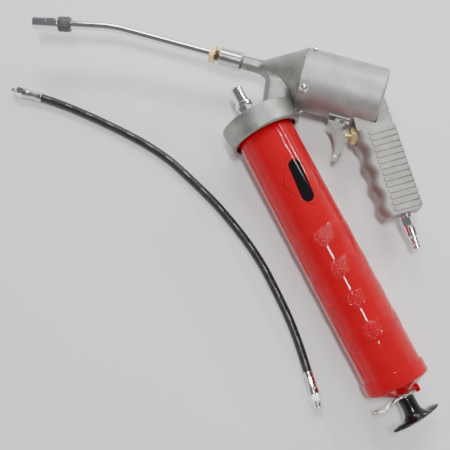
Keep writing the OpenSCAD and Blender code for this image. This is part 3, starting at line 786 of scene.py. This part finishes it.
class HOSE_OT_build(bpy.types.Operator):
    """Builds the whip hose with its ferrules and threaded ends"""

    bl_idname = "grease_gun.hose"
    bl_label = "Whip Hose"

    def execute(self, context):
        line = hose_line()
        fittings = [self.add_ferrules(), self.add_fittings()]
        tube = self.add_tube(context, line)
        marks = self.add_marks(line)
        return {"FINISHED"}

    def add_tube(self, context, line):
        curve = bpy.data.curves.new("hose_line", "CURVE")
        curve.dimensions = "3D"
        curve.bevel_depth = HOSE_R / 1000
        curve.bevel_resolution = 7
        curve.use_fill_caps = True
        spline = curve.splines.new("POLY")
        spline.points.add(len(line) - 1)
        for point, place in zip(spline.points, line):
            point.co = (*(place / 1000), 1)
        tube = bpy.data.objects.new("hose_tube_cover", curve)
        context.scene.collection.objects.link(tube)
        curve.materials.append(material_named("hose_rubber"))
        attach(tube, "hose")
        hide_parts("hose_tube")
        return tube

    def add_marks(self, line):
        """Plain grey dashes printed along the top of the hose."""
        vertices, faces = [], []
        proud = HOSE_R + 0.06
        for start in range(4, len(line) - 8, 9):
            for i in range(start, start + 3):
                way = (line[i + 1] - line[i]).normalized()
                side = Vector((-way.y, way.x, 0))
                first = len(vertices)
                for point in (line[i], line[i + 1]):
                    for tilt in (0.05, 0.25):
                        across = side * math.sin(tilt) * proud
                        vertices.append(point + across + Vector((0, 0, math.cos(tilt) * proud)))
                faces.append((first, first + 1, first + 3, first + 2))
        mesh = mesh_from("hose_dashes", vertices, faces, MM)
        return finish_piece("hose_dashes", mesh, "hose", "hose_print")

    def add_ferrules(self):
        """Crimped steel ferrules, squeezed in eight places round the middle."""
        profile = softened([
            (4.36, -8), (5.0, -8), (5.0, 7), (5.6, 10), (5.6, 13.3), (5.0, 14), (1.8, 14), (1.8, 0.1),
            (4.36, 0.1)], 0.25, closed=True)

        def crimp(radius, a, z):
            squeezed = math.exp(-((z - 0.5) / 5.0) ** 4)
            return (radius - 0.22 * squeezed * math.cos(4 * a) ** 2 if radius > 4.5 else radius), z

        rows = []
        for (r1, z1), (r2, z2) in zip(profile, profile[1:] + profile[:1]):
            steps = max(1, round(abs(z2 - z1) / 1.0))
            rows += [(r1 + (r2 - r1) * k / steps, z1 + (z2 - z1) * k / steps) for k in range(steps)]
        ends = [
            turned_mesh("ferrule", rows, on_hose_end(last), 72, crimp, ring=True)
            for last in (False, True)]
        piece = finish_piece(
            "hose_ferrule_pair", joined("hose_ferrule_pair", ends), "hose", "nickel",
            stands_for=["hose_ferrules"])
        return piece

    def add_fittings(self):
        """A hexagon and a tapered thread at each end."""
        hexes = []
        for last in (False, True):
            profile = softened([
                (1.8, 14.05), (6.1, 14.05), (6.5, 14.6), (6.5, 20.4), (6.1, 21), (1.8, 21)], 0.1, closed=True)
            hexes.append(turned_mesh("hex", profile, on_hose_end(last), 96, hexagon(11), ring=True))
            rows = [(1.8, 21), (4.7, 21)] + thread_rows(4.85, 21.3, 27.2) + [(4.3, 27.5), (1.8, 27.5)]
            hexes.append(turned_mesh(
                "thread", rows, on_hose_end(last), 72, self.thread, ring=True))
        return finish_piece(
            "hose_end_pair", joined("hose_end_pair", hexes), "hose", "chrome",
            stands_for=["hose_fittings"], crease=25)

    def thread(self, radius, a, z):
        return thread_shape(0.94, 0.5, 21.3, 27.3)(radius, a, z) if radius > 4.75 else (radius, z)


# ---------------------------------------------------------------- head and motor

class HEAD_OT_build(bpy.types.Operator):
    """Builds the cast pump head with its loader fitting"""

    bl_idname = "grease_gun.head"
    bl_label = "Pump Head"

    def execute(self, context):
        casting = cast_from("head_casting_skin", "head_casting", settings().casting_voxel, 5)
        finish_piece(
            "head_casting_skin", casting, "gun", "cast_body", on_motor(0),
            ["head_casting"], crease=60)
        self.add_loader()
        return {"FINISHED"}

    def add_loader(self):
        place = on_barrel(36, -5)
        body = softened([
            (4.5, 8.9), (4.5, 0), (6, 0), (7.1, 1.3), (7.1, 17), (9, 17.6), (9, 21), (8.4, 21.8), (4, 21.8),
            (4, 40), (3.2, 40), (3.2, 11.6), (2.5, 11.6), (2.5, 8.9)], 0.35, closed=True)
        nut = softened([
            (4, 21.8), (7.4, 21.8), (8.08, 22.5), (8.08, 33.6), (7.4, 34.3), (4, 34.3)], 0.15, closed=True)
        meshes = [
            turned_mesh("loader", body, place, 96, ring=True),
            turned_mesh("loader_hex", nut, place, 96, hexagon(14), ring=True),
        ]
        finish_piece(
            "loader_fitting", joined("loader_fitting", meshes), "gun", "chrome", place,
            ["loader_body"])
        washer = softened([(4.7, 34.4), (8.2, 34.4), (8.2, 35.9), (4.7, 35.9)], 0.25, closed=True)
        finish_piece(
            "loader_ring", turned_mesh("loader_ring", washer, place, 96, ring=True), "gun",
            "nickel", place, ["loader_washer"])


class MOTOR_OT_build(bpy.types.Operator):
    """Builds the air motor's cylinder and its screws"""

    bl_idname = "grease_gun.motor"
    bl_label = "Air Motor"

    def execute(self, context):
        self.add_sleeve()
        self.add_screws()
        return {"FINISHED"}

    def add_sleeve(self):
        place = on_motor(0)
        outline = [
            (0, 76), (28.05, 76), (28.05, 0), (MOTOR_R, 0), (MOTOR_R, MOTOR_LENGTH), (0, MOTOR_LENGTH)]
        profile = softened(outline, [0, 1, 0.3, 0.4, 4, 0], 8)
        finish_piece(
            "motor_cylinder", turned_mesh("motor_cylinder", profile, place, 160), "gun",
            "cast_sleeve", place, ["cylinder_sleeve"])

    def add_screws(self):
        """Four domed screws with a cross in the head."""
        meshes = []
        rows = [(0, -4.0), (2, -4.0), (2, -0.6), (4.75, -0.6)]
        angles = [math.radians(t) for t in range(0, 91, 3)]
        dome = [(4.75 * math.cos(a), 0.9 + 2.9 * math.sin(a)) for a in angles]
        for k in range(4):
            around = Matrix.Translation((6, 0, 0)) @ Matrix.Rotation(math.radians(38 + 90 * k), 4, "X")
            place = laid(around @ Matrix.Translation((0, 0, MOTOR_R)) @ Matrix.Rotation(0.4 * k, 4, "Z"))
            meshes.append(turned_mesh("screw", rows + dome, place, 96, self.cross))
        finish_piece(
            "motor_screws", joined("motor_screws", meshes), "gun", "chrome",
            stands_for=["cylinder_screws"], crease=40)

    def cross(self, radius, a, z):
        x, y = abs(radius * math.cos(a)), abs(radius * math.sin(a))
        if z > 1.5 and radius < 2.5 and min(x, y) < 0.55:
            return radius, z - 1.5 * (1 - radius / 2.9)
        return radius, z


# ---------------------------------------------------------------- spout

class SPOUT_OT_build(bpy.types.Operator):
    """Builds the outlet collar, the lock nut, the bent spout and its coupler"""

    bl_idname = "grease_gun.spout"
    bl_label = "Spout and Coupler"

    def execute(self, context):
        self.add_collar()
        self.add_nut()
        self.add_tube()
        self.add_coupler()
        return {"FINISHED"}

    def add_collar(self):
        place = on_motor(-86.4)
        profile = softened([
            (5.7, 0), (8.6, 0), (9.5, 0.9), (9.5, 22.6), (8, 24.3), (6.1, 24.3), (6.1, 16), (2.5, 16),
            (2.5, 8), (5.7, 8)], 0.3, closed=True)
        finish_piece(
            "outlet_collar_turned", turned_mesh("outlet_collar_turned", profile, place, 96, ring=True), "gun",
            "machined_steel", place, ["outlet_collar"])

    def add_nut(self):
        place = on_motor(-96.3)
        profile = softened([
            (5.65, 0), (8.7, 0), (9.7, 0.9), (9.7, 4.8), (8.7, 5.7), (5.65, 5.7)], 0.12, closed=True)
        finish_piece(
            "lock_nut_hex", turned_mesh("lock_nut_hex", profile, place, 96, hexagon(17), ring=True),
            "spout", "brass", place, ["lock_nut"])

    def add_tube(self):
        straight = [(-96 - (BEND_X + 96) * k / -12, 0, 0) for k in range(12)]
        turn = []
        for k in range(13):
            a = BEND_ANGLE * k / 12
            turn.append((BEND_X - BEND_RADIUS * math.sin(a), -BEND_RADIUS * (1 - math.cos(a)), 0))
        way = Vector((-math.cos(BEND_ANGLE), -math.sin(BEND_ANGLE), 0))
        rest = [tuple(Vector(turn[-1]) + way * s) for s in (8, 16, 24, 32)]
        place = laid(Matrix.Identity(4))
        finish_piece(
            "spout_pipe", swept_mesh("spout_pipe", straight + turn + rest, 4.8, place, 48), "spout",
            "chrome", place, ["spout_tube"])
        place = on_motor(-95.8)
        rows = [(4.5, 0), (4.85, 0)] + thread_rows(5.55, 0.6, 16.5) + [(4.85, 16.7), (2.2, 16.7)]
        finish_piece(
            "spout_thread", turned_mesh("spout_thread", rows, place, 72, self.thread), "spout",
            "thread_copper", place, crease=25)

    def thread(self, radius, a, z):
        return thread_shape(0.94, 0.45, 0.6, 16.5)(radius, a, z) if radius > 5 else (radius, z)

    def add_coupler(self):
        place = on_coupler(COUPLER_START)
        rows = [(4.9, 0), (6.2, 0), (7.75, 1.7)] + [(7.75, z) for z in spaced(1.9, 12.3, 0.25)]
        rows += [(7.3, 12.8), (5.8, 12.8), (5.8, 19.9), (2.1, 19.9), (2.1, 8.1), (4.9, 8.1)]
        finish_piece(
            "coupler_knurled", turned_mesh("coupler_knurled", rows, place, 240, self.knurl, ring=True),
            "spout", "knurled_steel", place, ["coupler_body"], crease=50)
        outline = [
            (5.85, 13), (7.4, 13), (7.4, 16.6), (7.4, 16.8), (7.4, 25.2), (7.4, 25.4), (7.4, 40), (4.3, 40),
            (4.3, 37), (5.85, 37)]
        profile = softened(outline, [0, 0.3, 0, 0, 0, 0, 2.2, 0.6, 0, 0], 6, closed=True)
        finish_piece(
            "coupler_shell", turned_mesh("coupler_shell", profile, place, 96, self.flats, ring=True),
            "spout", "chrome", place, ["coupler_sleeve"])

    def knurl(self, radius, a, z):
        if radius < 7.7 or z < 1.8 or z > 12.4:
            return radius, z
        around = 26 * a / math.tau
        along = z / 1.85
        first = abs((around + along) % 1 - 0.5)
        second = abs((around - along) % 1 - 0.5)
        return radius + 0.5 * (min(first, second) * 2) ** 0.7 - 0.3, z

    def flats(self, radius, a, z):
        quarter = (a + math.pi / 4) % (math.pi / 2) - math.pi / 4
        if 16.7 < z < 25.3 and radius > 6:
            return min(radius, 6.9 / math.cos(quarter)), z
        return radius, z


# ---------------------------------------------------------------- barrel

class BARREL_OT_build(bpy.types.Operator):
    """Builds the grease barrel, its decal, end cap, lock lever and pull handle"""

    bl_idname = "grease_gun.barrel"
    bl_label = "Grease Barrel"

    def execute(self, context):
        self.add_tube()
        self.add_decal()
        self.add_cap()
        self.add_lever()
        self.add_handle()
        return {"FINISHED"}

    def add_tube(self):
        place = on_barrel(0)
        inside = BARREL_R - 1.2
        end = BARREL_END - 1.8
        rows = [(inside, end), (inside, BARREL_START), (BARREL_R, BARREL_START)]
        rows += [(BARREL_R, z) for z in spaced(BARREL_START + 10, end, 1.5)]
        finish_piece(
            "barrel_painted", turned_mesh("barrel_painted", rows, place, 160, self.band, ring=True),
            "barrel", "barrel_paint", place, ["barrel_tube"])

    def band(self, radius, a, z):
        """The hand-hold bands stand a little proud."""
        if radius < BARREL_R - 0.5:
            return radius, z
        near = min(abs(z - centre) for centre in BAND_CENTRES)
        rise = 0.5 - 0.5 * math.cos(math.pi * max(0.0, min(1.0, (BAND_HALF + 2 - near) / 3)))
        return radius + 0.35 * rise, z

    def on_surface(self, across, along, proud):
        """A point on the barrel: across is an arc length from the near side towards the rear."""
        a = math.pi / 2 - across / BARREL_R
        r = BARREL_R + proud
        return (r * math.cos(a), r * math.sin(a), along)

    def add_decal(self):
        """A plain rounded bar inside a thin lozenge."""
        centre, bar_half, bar_width = 155.2, 22.0, 6.2
        vertices, faces = [], []
        for k in range(49):
            z = -bar_half + 2 * bar_half * k / 48
            round_end = max(0.0, abs(z) - (bar_half - bar_width))
            half = math.sqrt(max(0.0, bar_width ** 2 - round_end ** 2))
            for j in range(9):
                across = 5.3 + half * (j / 4 - 1) - z * 0.085
                vertices.append(self.on_surface(across, centre + z, 0.05))
        for k in range(48):
            for j in range(8):
                faces.append((k * 9 + j, k * 9 + j + 1, (k + 1) * 9 + j + 1, (k + 1) * 9 + j))
        place = on_barrel(0)
        finish_piece(
            "barrel_decal_bar", mesh_from("barrel_decal_bar", vertices, faces, place), "barrel",
            "decal_black", place)
        corners = [(0.3, -33), (20.5, 6), (0, 32), (-18, -2)]
        line = softened([(x, y, 0) for x, y in corners], 9, 6, closed=True)
        fine = []
        for first, second in zip(line, line[1:] + line[:1]):
            steps = max(1, round((Vector(second) - Vector(first)).length / 1.0))
            fine += [tuple(Vector(first).lerp(Vector(second), k / steps)) for k in range(steps)]
        vertices, faces = [], []
        for i, (x, y, _) in enumerate(fine):
            before, after = Vector(fine[i - 1]), Vector(fine[(i + 1) % len(fine)])
            way = (after - before).normalized()
            for offset in (-0.28, 0.28):
                vertices.append(self.on_surface(
                    5.3 + x - way.y * offset, centre + y + way.x * offset, 0.05))
            j = (i + 1) % len(fine)
            faces.append((2 * i, 2 * i + 1, 2 * j + 1, 2 * j))
        finish_piece(
            "barrel_decal_line", mesh_from("barrel_decal_line", vertices, faces, place), "barrel",
            "decal_line", place)

    def add_cap(self):
        place = on_barrel(BARREL_END - 14)
        outline = [
            (29.06, 0), (CAP_R, 0), (CAP_R, 11.6), (CAP_R - 1.2, 13.6), (12.5, 21.4), (10, 22.3),
            (9, 22.9), (6.1, 22.9), (6.1, 14.4), (27, 12.6), (29.06, 12.2)]
        radii = [0, 0.4, 1.2, 1.6, 1.5, 0.8, 0.6, 0.3, 0, 0, 0]
        skin = turned_mesh("cap", softened(outline, radii, 5, closed=True), place, 160, ring=True)
        ears = [self.ear(side) for side in (-1, 1)]
        finish_piece(
            "barrel_cap_painted", joined("barrel_cap_painted", [skin, *ears]), "barrel",
            "cap_paint", place, ["barrel_end_cap"])

    def ear(self, side):
        """One of the two ears that hold the lock lever's pin."""
        outline = softened([(10.2, 2), (15, 2), (15, 12.7), (10.2, 12.7)], [0, 0, 2.2, 1.5], 5, closed=True)
        return slab("ear", outline, side * 3.35, side * 6.0, on_barrel(BARREL_END))

    def add_lever(self):
        lever = cast_from("lock_lever_plate", "lock_lever", 0.25, 2)
        finish_piece(
            "lock_lever_plate", joined("lock_lever_plate", [lever, self.flange(-1), self.flange(1)]),
            "lock_lever", "lever_plate", on_barrel(BARREL_END), ["lock_lever"], crease=60)

    def flange(self, side):
        """One of the two turned edges that stiffen the lever's thumb tab."""
        top = [(-12.5, 3.3), (-20.4, 6.2), (-31.3, 4.1)]
        outline = softened([*top, (-31.2, 1.4), (-20.6, 3.2), (-13.5, 1.4)], 0.8, closed=True)
        return slab("flange", outline, side * 6.9, side * 6.0, on_barrel(BARREL_END + 10.1))

    def add_handle(self):
        """A moulded T-handle with a crowned bar, and the steel rod it is fixed to."""
        place = on_barrel(HANDLE_START) @ Matrix.Rotation(math.radians(-30), 4, "Z")
        stem = [(0, 0.3), (6.9, 0.3), (7.8, 1.2)]
        stem += [(7.8 + 1.4 * ((z - 8) / 14) ** 2, z) for z in spaced(8, 22, 1)]
        post = turned_mesh("stem", [*stem, (0, 22)], place, 64, self.spread)
        vertices, faces = [], []
        count, rings = 64, 13
        for j in range(rings):
            v = -math.pi / 2 + math.pi * j / (rings - 1)
            for k in range(count):
                a = math.tau * k / count
                x = math.copysign(abs(math.cos(a)) ** 0.75, math.cos(a)) * 29.8
                y = math.copysign(abs(math.sin(a)) ** 0.9, math.sin(a)) * 8.9
                swell = math.cos(v) ** 0.45 if abs(v) < math.pi / 2 - 0.01 else 0.75
                crown = 0.9 * (1 - (x / 29.8) ** 2)
                z = 21.6 + 2.3 * math.sin(v) + crown - 0.8
                vertices.append((x * max(swell, 0.75), y * max(swell, 0.6), z))
        for j in range(rings - 1):
            for k in range(count):
                n = (k + 1) % count
                faces.append((j * count + k, j * count + n, (j + 1) * count + n, (j + 1) * count + k))
        faces.append(tuple(range(count)))
        faces.append(tuple(range((rings - 1) * count, rings * count)))
        bar = mesh_from("bar", vertices, faces, place)
        handle = melted("pull_handle", joined("handle_work", [post, bar]), 0.45, 12)
        finish_piece(
            "pull_handle", handle, "rod", "handle_plastic", place, ["t_handle"], crease=60)
        self.add_rod()

    def spread(self, radius, a, z):
        """The stem spreads into the bar along its length."""
        if radius < 5 or z < 9:
            return radius, z
        return radius + 9 * ((z - 9) / 12) ** 3.2 * math.cos(a) ** 2, z

    def add_rod(self):
        place = on_barrel(96)
        rod = [(0, 0.1), (4, 0.1), (4, HANDLE_START - 96 + 7), (0, HANDLE_START - 96 + 7)]
        tail = [(0, -14.6), (3, -14.6), (3, 0.4), (0, 0.4)]
        meshes = [
            turned_mesh("rod", softened(rod, 0.3), place, 48),
            turned_mesh("tail", softened(tail, 0.3), place, 48)]
        finish_piece(
            "pull_rod", joined("pull_rod", meshes), "rod", "machined_steel", place,
            ["plunger_rod"])


# ---------------------------------------------------------------- grip

class GRIP_OT_build(bpy.types.Operator):
    """Builds the ribbed grip, the trigger, the air valve and the air plug"""

    bl_idname = "grease_gun.grip"
    bl_label = "Grip and Trigger"

    def execute(self, context):
        grip = cast_from("grip_skin", "grip_casting", 0.34, 3)
        self.round_front(grip)
        finish_piece(
            "grip_skin", grip, "gun", "cast_grip", on_grip(0), ["grip_casting"], crease=60)
        finish_piece(
            "trigger_skin", cast_from("trigger_skin", "trigger", 0.3, 4), "trigger",
            "cast_trigger", on_pivot(), ["trigger"], crease=60)
        finish_piece(
            "bracket_skin", cast_from("bracket_skin", "trigger_bracket", 0.3, 3), "gun",
            "cast_body", on_pivot(), ["trigger_bracket"], crease=60)
        self.add_pivot_screw()
        self.add_valve()
        self.add_plug()
        return {"FINISHED"}

    def round_front(self, mesh):
        """Rounds the grip's front edges so that they follow its finger grooves."""
        place = on_grip(0)
        back = place.inverted()
        for vertex in mesh.vertices:
            x, y, z = back @ vertex.co
            deep = x + 21.9 + 1.9 * math.cos(math.tau * (z - 11) / 23)
            if 1 < z < GRIP_LENGTH + 1 and deep < 9.5:
                limit = 12.0 * math.sqrt(max(0.0, 1 - (1 - max(deep, 0.0) / 9.5) ** 2))
                fade = min(1.0, (z - 1) / 6)
                if abs(y) > limit:
                    y += (math.copysign(limit, y) - y) * fade
                    vertex.co = place @ Vector((x, y, z))

    def add_pivot_screw(self):
        place = on_pivot()
        rows = [
            (0, -9.6), (2.6, -9.6), (2.6, -8.4), (2, -8.4), (2, 8.4), (3.1, 8.4), (3.1, 9.3), (2.3, 10)]

        def slot(radius, a, z):
            return (radius, z - 0.6) if z > 9.9 and abs(radius * math.sin(a)) < 0.4 else (radius, z)

        top = [(2.3 * (1 - k / 12), 10.0) for k in range(13)]
        profile = softened(rows, 0.12) + top[1:]
        finish_piece(
            "trigger_pivot", turned_mesh("trigger_pivot", profile, place, 64, slot), "gun",
            "chrome", place, ["trigger_screw"], crease=40)

    def add_valve(self):
        place = on_valve(0)
        nut = softened([
            (2.1, 0.05), (7.7, 0.05), (8.55, 0.8), (8.55, 6.8), (7.7, 7.5), (2.1, 7.5)], 0.12, closed=True)
        tail = softened([(2.1, -12), (4.95, -12), (4.95, 0.6), (2.1, 0.6)], 0.2, closed=True)
        meshes = [
            turned_mesh("valve_hex", nut, place, 96, hexagon(15), ring=True),
            turned_mesh("valve_tail", tail, place, 64, ring=True),
        ]
        finish_piece(
            "valve_brass", joined("valve_brass", meshes), "gun", "brass", place,
            ["valve_body"])
        stem = softened([
            (0, -16.5), (3.8, -16.5), (3.8, -14), (2, -14), (2, 10.6), (3.6, 10.6), (4, 11.2), (4, 13.2),
            (3, 13.8), (0, 13.8)], 0.3)
        finish_piece(
            "valve_button", turned_mesh("valve_button", stem, place, 64), "valve_stem",
            "brass", place, ["valve_stem"])

    def add_plug(self):
        place = on_grip(GRIP_LENGTH, 1.0)
        rows = softened([
            (2.6, -12), (6, -12), (6, 0), (6.75, 0), (6.75, 4.2), (6.9, 4.2), (6.9, 11.9), (7, 12),
            (5.75, 14), (5.75, 22.5), (4, 24), (4, 29), (5.5, 29.4), (5.5, 30.6), (4.25, 31.4), (4.25, 34.8),
            (3.6, 35.4), (2.6, 35.4)], 0.35, closed=True)
        nut = softened([(6.5, 4), (7.5, 4), (8.2, 4.7), (8.2, 11.3), (7.5, 12), (6.5, 12)], 0.12, closed=True)
        meshes = [
            turned_mesh("plug", rows, place, 96, ring=True),
            turned_mesh("plug_hex", nut, place, 96, hexagon(14.3), ring=True),
        ]
        finish_piece(
            "air_plug_plated", joined("air_plug_plated", meshes), "gun", "chrome", place,
            ["air_plug"])


class INSIDE_OT_build(bpy.types.Operator):
    """Finishes the springs, seals and other inner parts of the frame"""

    bl_idname = "grease_gun.inside"
    bl_label = "Inner Parts"

    def execute(self, context):
        for finish, names in FRAME_FINISHES.items():
            for name in names:
                mesh = NODES[name].data
                mesh.materials.clear()
                mesh.materials.append(material_named(finish))
        return {"FINISHED"}


class PANEL_PT_grease_gun(bpy.types.Panel):
    """Lists the pieces of the grease gun"""

    bl_idname = "PANEL_PT_grease_gun"
    bl_label = "Grease Gun"
    bl_space_type = "VIEW_3D"
    bl_region_type = "UI"
    bl_category = "Grease Gun"

    def draw(self, context):
        column = self.layout.column(align=True)
        for name in GreaseGunSettings.__annotations__:
            column.prop(context.scene.grease_gun, name)
        column.separator()
        for operator in OPERATORS:
            column.operator(operator.bl_idname)


OPERATORS = (
    STAGE_OT_build,
    HOSE_OT_build,
    HEAD_OT_build,
    MOTOR_OT_build,
    SPOUT_OT_build,
    BARREL_OT_build,
    GRIP_OT_build,
    INSIDE_OT_build,
)
CLASSES = (GreaseGunSettings, *OPERATORS, PANEL_PT_grease_gun)


def register():
    for item in CLASSES:
        bpy.utils.register_class(item)
    bpy.types.Scene.grease_gun = bpy.props.PointerProperty(type=GreaseGunSettings)


def unregister():
    del bpy.types.Scene.grease_gun
    for item in reversed(CLASSES):
        bpy.utils.unregister_class(item)


def main():
    """Builds everything in order."""
    register()
    for operator in OPERATORS:
        group, name = operator.bl_idname.split(".")
        getattr(getattr(bpy.ops, group), name)()


if __name__ == "__main__":
    main()
